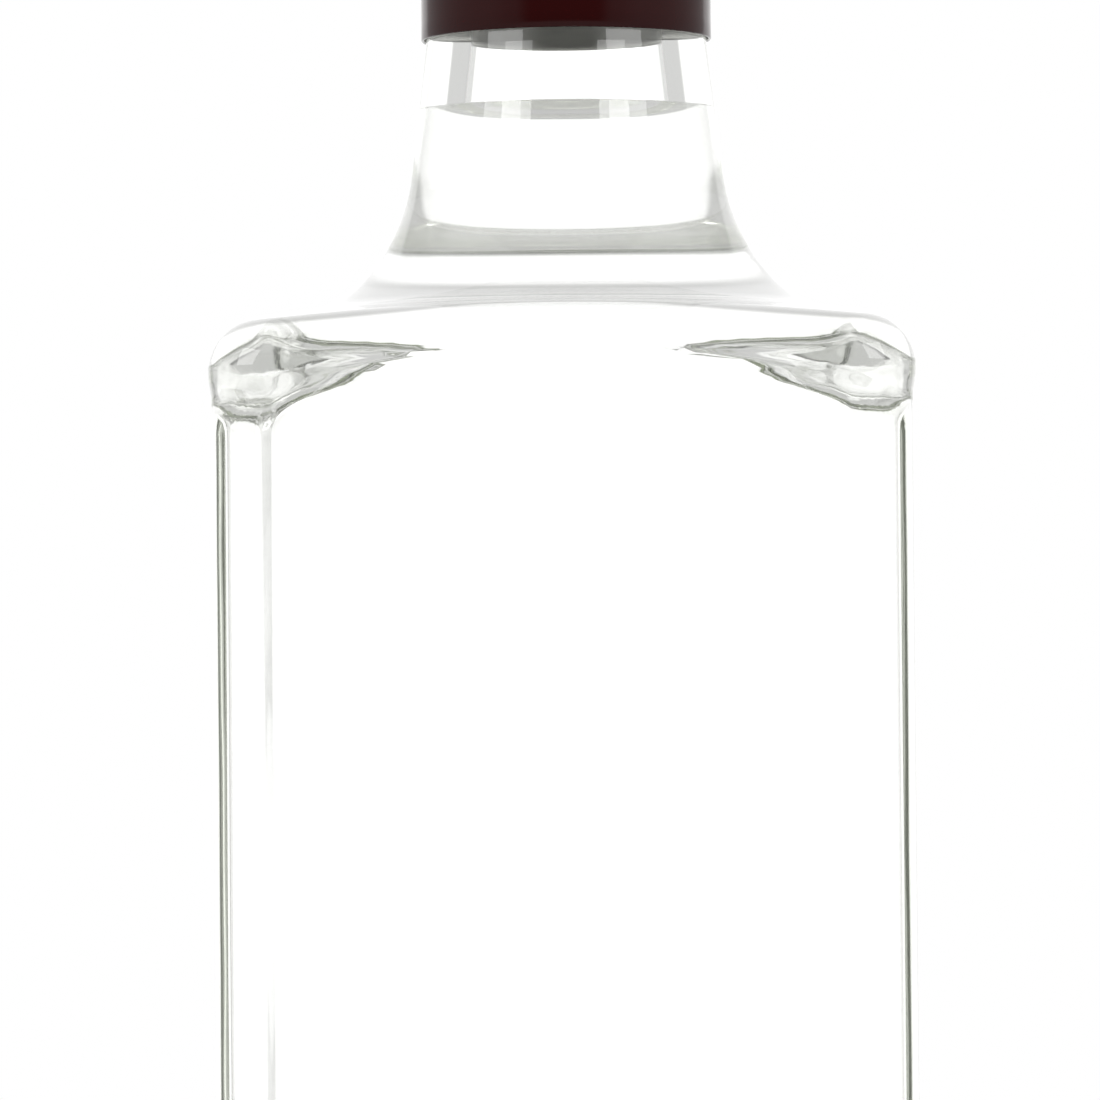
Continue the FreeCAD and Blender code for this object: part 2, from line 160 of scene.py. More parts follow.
class BottleSizes(bpy.types.PropertyGroup):
    """Sizes of the blown glass. What the frame fixes is read from it."""

    width: length("Width", "Across the flats, at the shoulder and heel bands", GLASS_HIGH.x - GLASS_LOW.x)
    height: length("Body height", "Base to the shoulder above the middle of a side", CAP_LOW.z - RIM_RISE)
    corner: length("Corner", "Rounding of the upright corners", 0.0066)
    slope: angle("Shoulder slope", "Fall of the shoulder towards its edge", 7.9)
    shoulder_round: length("Shoulder rounding", "Rounding of the shoulder's edge", 0.0048)
    heel_round: length("Heel rounding", "Rounding of the base's edge", 0.0045)
    recess: length("Panel recess", "How far the panels lie behind the bands", 0.00035)
    shoulder_band: length("Shoulder band", "Height of the band under the shoulder", 0.007)
    heel_band: length("Heel band", "Height of the band above the base", 0.009)
    blend: length("Band blend", "Height over which a band runs into the panel", 0.003)
    punt_depth: length("Punt depth", "Rise of the hollow under the base", 0.003)
    punt_radius: length("Punt radius", "Radius of the hollow under the base", 0.025)
    side_wall: length("Side wall", "Glass of the sides", GLASS_HIGH.x - RUM_HIGH.x - CLEARANCE)
    shoulder_wall: length("Shoulder wall", "Glass of the shoulder", 0.0016)
    edge_wall: length("Edge wall", "Glass of the sides just under the shoulder", 0.0016)
    thin_reach: length("Thinning reach", "Height over which the sides grow thinner", 0.006)
    base_wall: length("Base wall", "Glass of the base at its edge", RUM_LOW.z - CLEARANCE)
    inner_corner: length("Inner corner", "Rounding of the upright corners inside", 0.0055)
    ceiling_round: length("Ceiling rounding", "Rounding under the shoulder's edge inside", 0.0038)
    corner_swell: length("Corner swell", "How much rounder the inner corners are under the shoulder", 0.0220)
    swell_reach: length("Swell reach", "Height over which the inner corners grow rounder", 0.011)
    floor_round: length("Floor rounding", "Rounding round the floor inside", 0.004)
    neck: length("Neck radius", "Outside of the neck at the cap's rim", 0.0145)
    neck_draft: angle("Neck draft", "Slope of the neck", 6.7)
    throat_rise: length("Throat rise", "Shoulder to where the neck starts to flare", 0.0155)
    throat: length("Throat radius", "Upper arc of the flare", 0.0194)
    foot: length("Foot radius", "Lower arc of the flare", 0.0119)
    bore: length("Bore radius", "Inside of the neck at the cap's rim", 0.0098)
    bore_draft: angle("Bore draft", "Slope of the bore", 6.7)
    inner_throat_rise: length("Inner throat rise", "Shoulder to where the bore starts to flare", 0.0190)
    inner_throat: length("Inner throat radius", "Upper arc of the flare inside", 0.023)
    inner_foot: length("Inner foot radius", "Lower arc of the flare inside", 0.014)
    collar: length("Collar rise", "How far the neck runs on inside the cap", 0.005)
    finish: length("Finish radius", "Outside of the mouth above the collar", 0.0126)
    unevenness: length("Unevenness", "How far the blown inner wall wanders", 0.00015)


class RumSizes(bpy.types.PropertyGroup):
    """Sizes of the rum."""

    overlap: length("Overlap", "How far the rum reaches into the glass, so that no air gap shows", 0.00006)
    meniscus: length("Meniscus", "How far the level climbs at the glass", 0.0022)
    climb: length("Climb width", "Width over which the level climbs", 0.0030)


class CapSizes(bpy.types.PropertyGroup):
    """Sizes of the rolled aluminium cap."""

    radius: length("Radius", "Outside of the skirt", 0.0150)
    metal: length("Metal", "Thickness of the sheet", 0.0003)
    top_round: length("Top rounding", "Rounding of the upper edge", 0.0014)
    break_rise: length("Break rise", "Rim to the line where the cap breaks open", 0.017)
    break_width: length("Break width", "Height of the break line", 0.0006)
    bead_rise: length("Bead rise", "Rim to the middle of the raised bead", 0.0205)
    bead: length("Bead radius", "Half the height of the bead", 0.0009)
    bead_proud: length("Bead proud", "How far the bead stands out", 0.0002)
    bridges: bpy.props.IntProperty(name="Bridges", description="Bridges across the break line", default=12)
    knurls: bpy.props.IntProperty(name="Knurls", description="Upright flutes round the grip", default=72)
    knurl_depth: length("Knurl depth", "Depth of one flute", 0.00016)
    knurl_height: length("Knurl height", "Length of the flutes", 0.009)
    knurl_drop: length("Knurl drop", "Top of the cap down to the flutes", 0.003)
    thread_pitch: length("Thread pitch", "Rise of the rolled thread in one turn", 0.0036)
    thread_depth: length("Thread depth", "Depth of the rolled thread", 0.00022)


class BottleColours(bpy.types.PropertyGroup):
    """Colours of the glass, the rum, the cap and the studio."""

    glass: colour("Glass", "Faint green of flint glass over a long path", "D6DEC4")
    rum: colour("Rum", "What is left of the light after a long way through the rum", "F4F4E4")
    lacquer: colour("Lacquer", "Burgundy lacquer of the cap", "2A0707")
    bare: colour("Bare metal", "Bare aluminium inside the cap and along its cut rim", "B9B9B6")
    floor: colour("Floor", "Pale studio floor", "DCDCDA")


class StudioSettings(bpy.types.PropertyGroup):
    """Where the camera stands and how bright each part of the studio is."""

    distance: length("Distance", "Camera to the bottle's axis", 0.79)
    eye: length("Eye", "Height of the camera", 0.1354)
    azimuth: angle("Azimuth", "Camera's turn about the bottle", 1.5)
    pitch: angle("Pitch", "Camera's tilt upwards", 1.68)
    yaw: angle("Yaw", "Camera's turn away from the axis, to the left", 0.155)
    roll: angle("Roll", "Camera's roll", 0.5)
    lens: bpy.props.FloatProperty(name="Lens", description="Focal length in millimetres", default=250.3)
    backdrop: brightness("Backdrop", "Backdrop seen through glass", 1.27)
    sides: brightness("Sides", "Side walls seen in or through glass", 0.65)
    front: brightness("Front", "Dark gap round the camera", 0.08)
    ceiling: brightness("Ceiling", "Ceiling seen in or through glass", 0.95)
    table: brightness("Table", "Table seen in or through glass", 0.62)
    plain: brightness("Plain", "Even light on everything that is not clear", 0.75)


# ---------------------------------------------------------------- outlines

class Outline:
    """The turned outline of a shoulder, flare and neck: a sloped line, two arcs and a drafted neck.

    neck is the neck's radius at the rim's height, and start the height where it turns into the flare.
    upper and lower are the radii of the flare's arcs. The sloped line is at the height side where the
    radius is half.
    """

    def __init__(self, neck, rim, draft, start, upper, lower, slope, side, half):
        self.neck, self.rim, self.draft = neck, rim, draft
        self.upper, self.lower, self.slope = upper, lower, slope
        self.side, self.half = side, half
        top = neck + (rim - start) * math.tan(draft)
        high = (top + upper * math.cos(draft), start + upper * math.sin(draft))
        above = ((high[0] - half) * math.sin(slope) + (high[1] - side) * math.cos(slope)) - lower
        along = math.sqrt(max((upper - lower) ** 2 - above ** 2, 0.0))
        low = (high[0] - above * math.sin(slope) - along * math.cos(slope),
               high[1] - above * math.cos(slope) + along * math.sin(slope))
        self.high, self.low = high, low     # centres of the upper and the lower arc
        self.turn = math.atan2(high[1] - low[1], high[0] - low[0])
        self.foot = low[0] - lower * math.sin(slope)

    def dome(self, radius):
        """Height of the shoulder and the foot of the flare at a radius."""
        if radius >= self.foot:
            return self.side - (radius - self.half) * math.tan(self.slope)
        joint = self.low[0] - self.lower * math.cos(self.turn)
        if radius >= joint:
            return self.low[1] - math.sqrt(max(self.lower ** 2 - (self.low[0] - radius) ** 2, 0.0))
        return self.high[1] - math.sqrt(max(self.upper ** 2 - (self.high[0] - radius) ** 2, 0.0))

    def radius(self, height, straight=False):
        """Radius of the neck at a height above the throat, straight above the rim where asked."""
        below = self.rim - height
        return self.neck + (max(below, 0.0) if straight else below) * math.tan(self.draft)

    def flare(self, first, steps):
        """(radius, height) from a radius on the foot up to the start of the neck."""
        points = []
        angle_first = math.acos(max(min((self.low[0] - first) / self.lower, 1.0), -1.0))
        for step in range(steps):
            a = angle_first + (self.turn - angle_first) * step / steps
            points.append((self.low[0] - self.lower * math.cos(a), self.low[1] - self.lower * math.sin(a)))
        for step in range(steps + 1):
            a = self.turn + (self.draft - self.turn) * step / steps
            points.append((self.high[0] - self.upper * math.cos(a), self.high[1] - self.upper * math.sin(a)))
        return points


def square_ring(half, corner):
    """Points of a square with rounded corners, always as many of them and in the same order."""
    flat = half - corner
    points = []
    for turn in range(4):
        c, s = ((1, 0), (0, 1), (-1, 0), (0, -1))[turn]
        for step in range(FLAT_STEPS):
            along = -flat + 2 * flat * step / FLAT_STEPS
            points.append((half * c - along * s, half * s + along * c))
        for step in range(CORNER_STEPS):
            a = math.pi / 2 * step / CORNER_STEPS
            x, y = flat + corner * math.cos(a), flat + corner * math.sin(a)
            points.append((x * c - y * s, x * s + y * c))
    return points


def circle_ring(radius, directions):
    """Points of a circle in given directions."""
    return [(radius * c, radius * s) for c, s in directions]


def ring_directions(half, corner):
    """Unit directions of a rounded square's points."""
    return [(x / math.hypot(x, y), y / math.hypot(x, y)) for x, y in square_ring(half, corner)]


def between(first, second, share):
    """A ring part of the way from one ring to another."""
    return [(a[0] + (b[0] - a[0]) * share, a[1] + (b[1] - a[1]) * share) for a, b in zip(first, second)]


def at(ring, height):
    """A flat ring as points in space."""
    return [(x, y, height) for x, y in ring]


def ease(share):
    """A smooth step from 0 to 1."""
    return share * share * (3 - 2 * share)


def spread(first, last, steps):
    """Evenly spaced numbers, both ends included."""
    return [first + (last - first) * step / steps for step in range(steps + 1)]


def column_rings(half, corner, rounding, outline, directions, low, round_low, floor, back,
                 swell=lambda height: 0.0):
    """Rings of a square vessel from its flat floor, up the sides and over the shoulder to the neck.

    back(height) gives how far the side lies in behind the full width there, and swell(height) how much
    rounder the upright corners are. floor(ring) lists the rings of the floor inwards of its rounding.
    """
    behind = back(low + round_low)
    rings = floor(square_ring(half - behind - round_low, max(corner - round_low, LEAST_CORNER)))
    for a in spread(0, math.pi / 2, 9)[1:]:
        inset = behind + round_low * (1 - math.sin(a))
        ring = square_ring(half - inset, max(corner - inset, LEAST_CORNER))
        rings.append(at(ring, low + round_low * (1 - math.cos(a))))
    start = low + round_low
    end = min(outline.dome(math.hypot(x, y)) for x, y in square_ring(half, corner)) - rounding
    for share in side_shares():
        height = start + (end - start) * share
        ring = square_ring(half - back(height), corner - back(height) + swell(height))
        lift = max(share * 6 - 5, 0.0) ** 2     # over the last sixth they lift to the shoulder's fall
        rings.append([(x, y, height + (outline.dome(math.hypot(x, y)) - rounding - end) * lift)
                      for x, y in ring])
    for a in spread(0, math.pi / 2, 14)[1:]:
        inset = rounding * (1 - math.cos(a))
        drop = rounding * (1 - math.sin(a))
        more = swell(outline.dome(half) - drop)
        ring = square_ring(half - inset, max(corner - inset, LEAST_CORNER) + more)
        rings.append([(x, y, outline.dome(math.hypot(x, y)) - drop) for x, y in ring])
    edge = [(x, y) for x, y, z in rings[-1]]
    foot = min(outline.foot, half - rounding) * FOOT_SHARE
    circle = circle_ring(foot, directions)
    for share in spread(0, 1, 16)[1:]:
        ring = between(edge, circle, share)
        rings.append([(x, y, outline.dome(math.hypot(x, y))) for x, y in ring])
    for radius, height in outline.flare(foot, 18)[1:]:
        rings.append(at(circle_ring(radius, directions), height))
    return rings


def side_shares():
    """How far up the side each ring stands: close together at both bands."""
    shares = spread(0, HEEL_SHARE, 16)[1:]
    shares += spread(HEEL_SHARE, SHOULDER_SHARE, 40)[1:]
    shares += spread(SHOULDER_SHARE, 1.0, 20)[1:]
    return shares


def neck_rings(outline, directions, heights, straight=False):
    """Rings up the neck, above the flare."""
    return [at(circle_ring(outline.radius(z, straight), directions), z) for z in heights]


def skin(name, rings, start_pole=None, end_pole=None):
    """A closed or open mesh object that passes through rings of the same number of points."""
    count = len(rings[0])
    vertices = [point for ring in rings for point in ring]
    faces = []
    for level in range(len(rings) - 1):
        base, above = level * count, (level + 1) * count
        for step in range(count):
            following = (step + 1) % count
            faces.append((base + step, base + following, above + following, above + step))
    for pole, level, flip in ((start_pole, 0, True), (end_pole, len(rings) - 1, False)):
        if pole is None:
            continue
        vertices.append(pole)
        tip, base = len(vertices) - 1, level * count
        for step in range(count):
            following = (step + 1) % count
            face = (base + step, base + following, tip)
            faces.append(face[::-1] if flip else face)
    mesh = bpy.data.meshes.new(name)
    mesh.from_pydata(vertices, [], faces)
    mesh.validate()
    mesh.update()
    mesh.shade_smooth()
    piece = bpy.data.objects.new(name, mesh)
    bpy.context.scene.collection.objects.link(piece)
    return piece


def glass_outline(sizes):
    """The outside of the shoulder, flare and neck."""
    return Outline(sizes.neck, CAP_LOW.z, sizes.neck_draft, sizes.height + sizes.throat_rise, sizes.throat,
                   sizes.foot, sizes.slope, sizes.height, sizes.width / 2)


def space_outline(sizes, grow):
    """The inside of the shoulder, flare and neck, or the rum's outside where grow reaches into the wall."""
    return Outline(sizes.bore + grow, CAP_LOW.z, sizes.bore_draft, sizes.height + sizes.inner_throat_rise,
                   sizes.inner_throat - grow, sizes.inner_foot - grow, sizes.slope,
                   sizes.height - sizes.shoulder_wall + grow, sizes.width / 2)


def band_profile(sizes):
    """How far the panels lie behind the bands at a height."""
    low, high = sizes.heel_band, sizes.height - sizes.shoulder_band

    def back(height):
        rise = min(max((height - low) / sizes.blend, 0.0), 1.0)
        fall = min(max((high - height) / sizes.blend, 0.0), 1.0)
        return sizes.recess * ease(rise) * ease(fall)

    return back


def outside_rings(sizes, directions):
    """The outside of the glass from the middle of the base to the mouth."""
    outline = glass_outline(sizes)
    ball = (sizes.punt_radius ** 2 + sizes.punt_depth ** 2) / (2 * sizes.punt_depth)

    def base(inner):
        rings = []
        for radius in spread(0, sizes.punt_radius, 14)[1:]:
            height = sizes.punt_depth - ball + math.sqrt(ball ** 2 - radius ** 2)
            rings.append(at(circle_ring(radius, directions), max(height, 0.0)))
        circle = circle_ring(sizes.punt_radius, directions)
        for share in spread(0, 1, 5)[1:]:
            rings.append(at(between(circle, inner, share), 0.0))
        return rings

    rings = column_rings(sizes.width / 2, sizes.corner, sizes.shoulder_round, outline, directions, 0.0,
                         sizes.heel_round, base, band_profile(sizes))
    start = sizes.height + sizes.throat_rise
    collar = outline.rim + sizes.collar
    rings += neck_rings(outline, directions, spread(start, collar, 22)[1:])
    mouth = GLASS_HIGH.z
    rings.append(at(circle_ring(outline.radius(collar) - COLLAR_EDGE, directions), collar + COLLAR_EDGE))
    rings.append(at(circle_ring(sizes.finish + COLLAR_EDGE, directions), collar + COLLAR_STEP))
    heights = [collar + 2 * COLLAR_STEP] + spread(collar + 2.5 * COLLAR_STEP, mouth - LIP_ROUND, 8)
    rings += [at(circle_ring(sizes.finish, directions), z) for z in heights]
    for a in spread(0, math.pi / 2, 5)[1:]:
        radius = sizes.finish - LIP_ROUND * (1 - math.cos(a))
        rings.append(at(circle_ring(radius, directions), mouth - LIP_ROUND * (1 - math.sin(a))))
    return rings


def inside_rings(sizes, directions, grow, top):
    """The inside of the glass from the middle of its floor up the bore, or the same for the rum."""
    outline = space_outline(sizes, grow)
    low = sizes.base_wall - grow

    def floor(inner):
        rings = []
        reach = FLOOR_DISH_SHARE * max(math.hypot(x, y) for x, y in inner)
        for share in spread(0, 1, 14)[1:]:
            ring = [(x * share, y * share) for x, y in inner]
            rings.append([(x, y, low + FLOOR_DISH * (1 - ease(min(math.hypot(x, y) / reach, 1.0))))
                          for x, y in ring])
        return rings

    half = sizes.width / 2 - sizes.edge_wall + grow
    top_edge = sizes.height - sizes.shoulder_wall

    def near_top(height, reach):
        return min(max(1 - (top_edge - height) / reach, 0.0), 1.0)

    def back(height):
        thinned = near_top(height + sizes.ceiling_round, sizes.thin_reach) ** 2
        return (sizes.side_wall - sizes.edge_wall) * (1 - thinned)

    def swell(height):
        return sizes.corner_swell * ease(near_top(height, sizes.swell_reach))

    rings = column_rings(half, sizes.inner_corner + grow, sizes.ceiling_round + grow, outline, directions,
                         low, sizes.floor_round + grow, floor, back, swell)
    start = sizes.height + sizes.inner_throat_rise
    rings += neck_rings(outline, directions, spread(start, top, 40)[1:], straight=True)
    return rings, (0.0, 0.0, low + FLOOR_DISH)


def wander(rings, amount):
    """Moves an inner wall in and out a little, as blown glass does."""
    moved = []
    for ring in rings:
        out = []
        for x, y, z in ring:
            reach = math.hypot(x, y) or 1.0
            shift = amount * noise.noise(Vector((x, y, z * WANDER_STRETCH)) / WANDER_LENGTH)
            out.append((x + x / reach * shift, y + y / reach * shift, z))
        moved.append(out)
    return moved


def make_glass(context):
    """The bottle: outside and inside joined at the mouth as one closed wall."""
    sizes = context.scene.bottle_sizes
    directions = ring_directions(sizes.width / 2, sizes.corner)
    outside = outside_rings(sizes, directions)
    inside, floor_pole = inside_rings(sizes, directions, 0.0, GLASS_HIGH.z - MOUTH_ROUND)
    inside = wander(inside, sizes.unevenness)
    mouth = space_outline(sizes, 0.0).radius(GLASS_HIGH.z, straight=True) + MOUTH_ROUND
    rings = outside + [at(circle_ring(mouth, directions), GLASS_HIGH.z)] + inside[::-1]
    piece = skin("flint_bottle", rings, (0.0, 0.0, sizes.punt_depth), floor_pole)
    piece.data.materials.append(flint_glass(context))
    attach(piece, "root")
    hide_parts("bottle_glass")
    return piece


def make_rum(context):
    """The rum: it reaches just into the glass, and its level climbs at the wall."""
    sizes, rum = context.scene.bottle_sizes, context.scene.rum_sizes
    directions = ring_directions(sizes.width / 2, sizes.corner)
    level = RUM_HIGH.z - rum.meniscus
    walls, floor_pole = inside_rings(sizes, directions, rum.overlap, level + rum.meniscus)
    walls = wander(walls, sizes.unevenness)
    edge = space_outline(sizes, rum.overlap).radius(level + rum.meniscus)
    for share in spread(0, 1, 30)[1:-1]:
        radius = edge * (1 - share ** RING_CROWDING)
        height = level + rum.meniscus * math.exp(-((edge - radius) / rum.climb) ** CLIMB_SHAPE)
        walls.append(at(circle_ring(radius, directions), height))
    piece = skin("white_rum_fill", walls, floor_pole, (0.0, 0.0, level))
    piece.data.materials.append(white_rum(context))
    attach(piece, "root")
    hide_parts("rum")
    return piece


def cap_relief(cap, turn, height, rise):
    """How far the rolled sheet stands out at a place: flutes, break line, bead and rolled thread."""
    out = 0.0
    knurl_top = rise - cap.knurl_drop
    knurl_low = knurl_top - cap.knurl_height
    inside = min(height - knurl_low, knurl_top - height) / FLUTE_FADE
    if inside > 0:
        flute = 0.5 - 0.5 * math.cos(cap.knurls * turn)
        out -= cap.knurl_depth * flute ** FLUTE_SHAPE * min(inside, 1.0)
    across = abs(height - cap.break_rise) / (cap.break_width / 2)
    if across < BREAK_REACH:
        bridge = max(0.0, math.cos(cap.bridges * turn) - (1 - BRIDGE_SHARE)) / BRIDGE_SHARE
        out -= BREAK_DEPTH * (1 - bridge) * ease(min(1.0, (BREAK_REACH - across) / BREAK_SOFT))
    bead = abs(height - cap.bead_rise) / cap.bead
    if bead < 1:
        out += cap.bead_proud * (0.5 + 0.5 * math.cos(math.pi * bead))
    low, high = cap.bead_rise + THREAD_ABOVE_BEAD, knurl_low - THREAD_BELOW_GRIP
    if low < height < high:
        phase = (height - low) / cap.thread_pitch - turn / (2 * math.pi)
        trough = math.exp(-((phase - round(phase)) * cap.thread_pitch / THREAD_HALF) ** 2)
        ends = min(1.0, (height - low) / THREAD_FADE, (high - height) / THREAD_FADE)
        out -= cap.thread_depth * trough * ends
    return out


def make_cap(context):
    """The cap: sheet aluminium rolled onto the neck, open below."""
    cap = context.scene.cap_sizes
    rise = CAP_HIGH.z - CAP_LOW.z
    turns = [2 * math.pi * step / CAP_AROUND for step in range(CAP_AROUND)]

    def turned(radius, height, relief=True):
        points = []
        for turn in turns:
            reach = radius + (cap_relief(cap, turn, height, rise) if relief else 0.0)
            points.append((reach * math.cos(turn), reach * math.sin(turn), CAP_LOW.z + height))
        return points

    heights = spread(RIM_ROUND, cap.break_rise - BREAK_NEAR - BREAK_GAP, 10)
    heights += spread(cap.break_rise - BREAK_NEAR, cap.break_rise + BREAK_NEAR, 10)
    heights += spread(cap.break_rise + BREAK_NEAR + 2 * BREAK_GAP, rise - cap.top_round, 120)
    inner = cap.radius - cap.metal
    rings = [
        turned(inner, RIM_CURL, False),
        turned(inner + 0.5 * RIM_ROUND, 0.3 * RIM_ROUND, False),
        turned(cap.radius - RIM_ROUND, 0.0, False),
    ]
    rings += [turned(cap.radius, z) for z in heights]
    for a in spread(0, math.pi / 2, 8)[1:]:
        rings.append(turned(cap.radius - cap.top_round * (1 - math.cos(a)),
                            rise - cap.top_round * (1 - math.sin(a)), False))
    top_edge = cap.radius - cap.top_round
    rings += [turned(top_edge * share, rise, False) for share in spread(0.93, 0.1, 9)]
    rings_in = [turned(inner, z, False) for z in spread(2 * RIM_CURL, rise - 1.5 * TOP_METAL, 30)]
    rings_in += [turned(inner * share, rise - TOP_METAL, False) for share in spread(0.98, 0.05, 10)]
    rings = rings_in[::-1] + rings
    piece = skin("rolled_cap", rings, (0.0, 0.0, CAP_HIGH.z - TOP_METAL), (0.0, 0.0, CAP_HIGH.z))
    piece.data.materials.append(burgundy_lacquer(context))
    piece.data.materials.append(bare_aluminium(context))
    border = (len(rings_in) + 2) * CAP_AROUND
    inner_pole = len(rings) * CAP_AROUND
    for face in piece.data.polygons:
        low, high = min(face.vertices), max(face.vertices)
        bare = low < border - CAP_AROUND and (high < border or high == inner_pole)
        face.material_index = 1 if bare else 0
    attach(piece, "root")
    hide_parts("screw_cap")
    return piece


# ---------------------------------------------------------------- materials

def add_node(tree, kind, links=None, **settings):
    """Adds a shader node, sets its fields and inputs, and links what feeds it."""
    node = tree.nodes.new(kind)
    for name, value in settings.items():
        if hasattr(node, name):
            setattr(node, name, value)
        else:
            node.inputs[name.replace("_", " ")].default_value = value
    for name, source in (links or {}).items():
        tree.links.new(source, node.inputs[name])
    return node


def new_material(name):
    """A material with an empty node tree."""
    material = bpy.data.materials.new(name)
    material.use_nodes = True
    material.node_tree.nodes.clear()
    return material, material.node_tree


def flint_glass(context):
    """Blown flint glass: quite clear, so the eye sees it by its edges.

    Its surface waves slowly from the blowing, and iron gives a long path through it a faint green.
    """
    material, tree = new_material("blown_flint_glass")
    place = add_node(tree, "ShaderNodeTexCoord")
    swell = add_node(tree, "ShaderNodeTexNoise", {"Vector": place.outputs["Object"]},
                     Scale=1 / GLASS_RIPPLE, Detail=1.0)
    bump = add_node(tree, "ShaderNodeBump", {"Height": swell.outputs["Fac"]}, Strength=0.12, Distance=0.0004)
    shader = add_node(tree, "ShaderNodeBsdfPrincipled", {"Normal": bump.outputs["Normal"]},
                      Base_Color=WHITE, Roughness=0.0, IOR=1.52, Transmission_Weight=1.0)
    depth = add_node(tree, "ShaderNodeVolumeAbsorption", Density=GLASS_TINT,
                     Color=(*context.scene.bottle_colours.glass, 1.0))
    add_node(tree, "ShaderNodeOutputMaterial",
             {"Surface": shader.outputs["BSDF"], "Volume": depth.outputs["Volume"]})
    return material


def white_rum(context):
    """White rum: water and spirit. It looks as clear as water, and bends light a little more."""
    material, tree = new_material("clear_white_rum")
    shader = add_node(tree, "ShaderNodeBsdfPrincipled", Base_Color=WHITE, Roughness=0.0, IOR=1.36,
                      Transmission_Weight=1.0)
    depth = add_node(tree, "ShaderNodeVolumeAbsorption", Density=RUM_TINT,
                     Color=(*context.scene.bottle_colours.rum, 1.0))
    add_node(tree, "ShaderNodeOutputMaterial",
             {"Surface": shader.outputs["BSDF"], "Volume": depth.outputs["Volume"]})
    return material


def burgundy_lacquer(context):
    """Burgundy stoving lacquer on rolled aluminium: a deep colour under a smooth, softly glossy skin."""
    material, tree = new_material("burgundy_stoving_lacquer")
    place = add_node(tree, "ShaderNodeTexCoord")
    peel = add_node(tree, "ShaderNodeTexNoise", {"Vector": place.outputs["Object"]},
                    Scale=1 / ORANGE_PEEL, Detail=2.0)
    bump = add_node(tree, "ShaderNodeBump", {"Height": peel.outputs["Fac"]}, Strength=0.04, Distance=0.0001)
    shader = add_node(tree, "ShaderNodeBsdfPrincipled", {"Normal": bump.outputs["Normal"]},
                      Base_Color=(*context.scene.bottle_colours.lacquer, 1.0), Roughness=0.13, IOR=1.5,
                      Specular_IOR_Level=0.2)
    add_node(tree, "ShaderNodeOutputMaterial", {"Surface": shader.outputs["BSDF"]})
    return material


def bare_aluminium(context):
    """Bare rolled aluminium: a dull grey shine, drawn out by fine lines round it from the rolling."""
    material, tree = new_material("bare_rolled_aluminium")
    place = add_node(tree, "ShaderNodeTexCoord")
    stretch = add_node(tree, "ShaderNodeMapping", {"Vector": place.outputs["Object"]},
                       Scale=(1 / ROLL_LENGTH, 1 / ROLL_LENGTH, 1 / ROLL_LINE))
    lines = add_node(tree, "ShaderNodeTexNoise", {"Vector": stretch.outputs["Vector"]}, Scale=1.0, Detail=3.0)
    bump = add_node(tree, "ShaderNodeBump", {"Height": lines.outputs["Fac"]}, Strength=0.1, Distance=0.0001)
    shader = add_node(tree, "ShaderNodeBsdfPrincipled", {"Normal": bump.outputs["Normal"]},
                      Base_Color=(*context.scene.bottle_colours.bare, 1.0), Metallic=1.0, Roughness=0.35)
    add_node(tree, "ShaderNodeOutputMaterial", {"Surface": shader.outputs["BSDF"]})
    return material


def pale_paper(context):
    """Matt pale paper: a soft, even grey that takes the bottle's shadow, with a slight grain.

    It fades out towards its edge. In and through the glass it is seen as an even grey.
    """
    material, tree = new_material("pale_paper_floor")
    place = add_node(tree, "ShaderNodeTexCoord")
    far = add_node(tree, "ShaderNodeVectorMath", {0: place.outputs["Object"]}, operation="LENGTH")
    fade = add_node(tree, "ShaderNodeMapRange", {"Value": far.outputs["Value"]},
                    interpolation_type="SMOOTHSTEP", From_Min=FLOOR_FADE[0], From_Max=FLOOR_FADE[1])
    grain = add_node(tree, "ShaderNodeTexNoise", {"Vector": place.outputs["Object"]},
                     Scale=1 / PAPER_GRAIN, Detail=2.0)
    bump = add_node(tree, "ShaderNodeBump", {"Height": grain.outputs["Fac"]}, Strength=0.05, Distance=0.0002)
    paper = add_node(tree, "ShaderNodeBsdfPrincipled", {"Normal": bump.outputs["Normal"]},
                     Base_Color=(*context.scene.bottle_colours.floor, 1.0), Roughness=0.8)
    glow = add_node(tree, "ShaderNodeEmission", Strength=context.scene.studio_settings.table)
    ray = add_node(tree, "ShaderNodeLightPath")
    bent = add_node(tree, "ShaderNodeMath",
                    {0: ray.outputs["Is Glossy Ray"], 1: ray.outputs["Is Transmission Ray"]},
                    operation="MAXIMUM")
    seen = add_node(tree, "ShaderNodeMixShader",
                    {"Fac": bent.outputs[0], 1: paper.outputs[0], 2: glow.outputs[0]})
    clear = add_node(tree, "ShaderNodeBsdfTransparent")
    edge = add_node(tree, "ShaderNodeMixShader",
                    {"Fac": fade.outputs["Result"], 1: seen.outputs[0], 2: clear.outputs[0]})
    add_node(tree, "ShaderNodeOutputMaterial", {"Surface": edge.outputs[0]})
    return material


# ---------------------------------------------------------------- studio

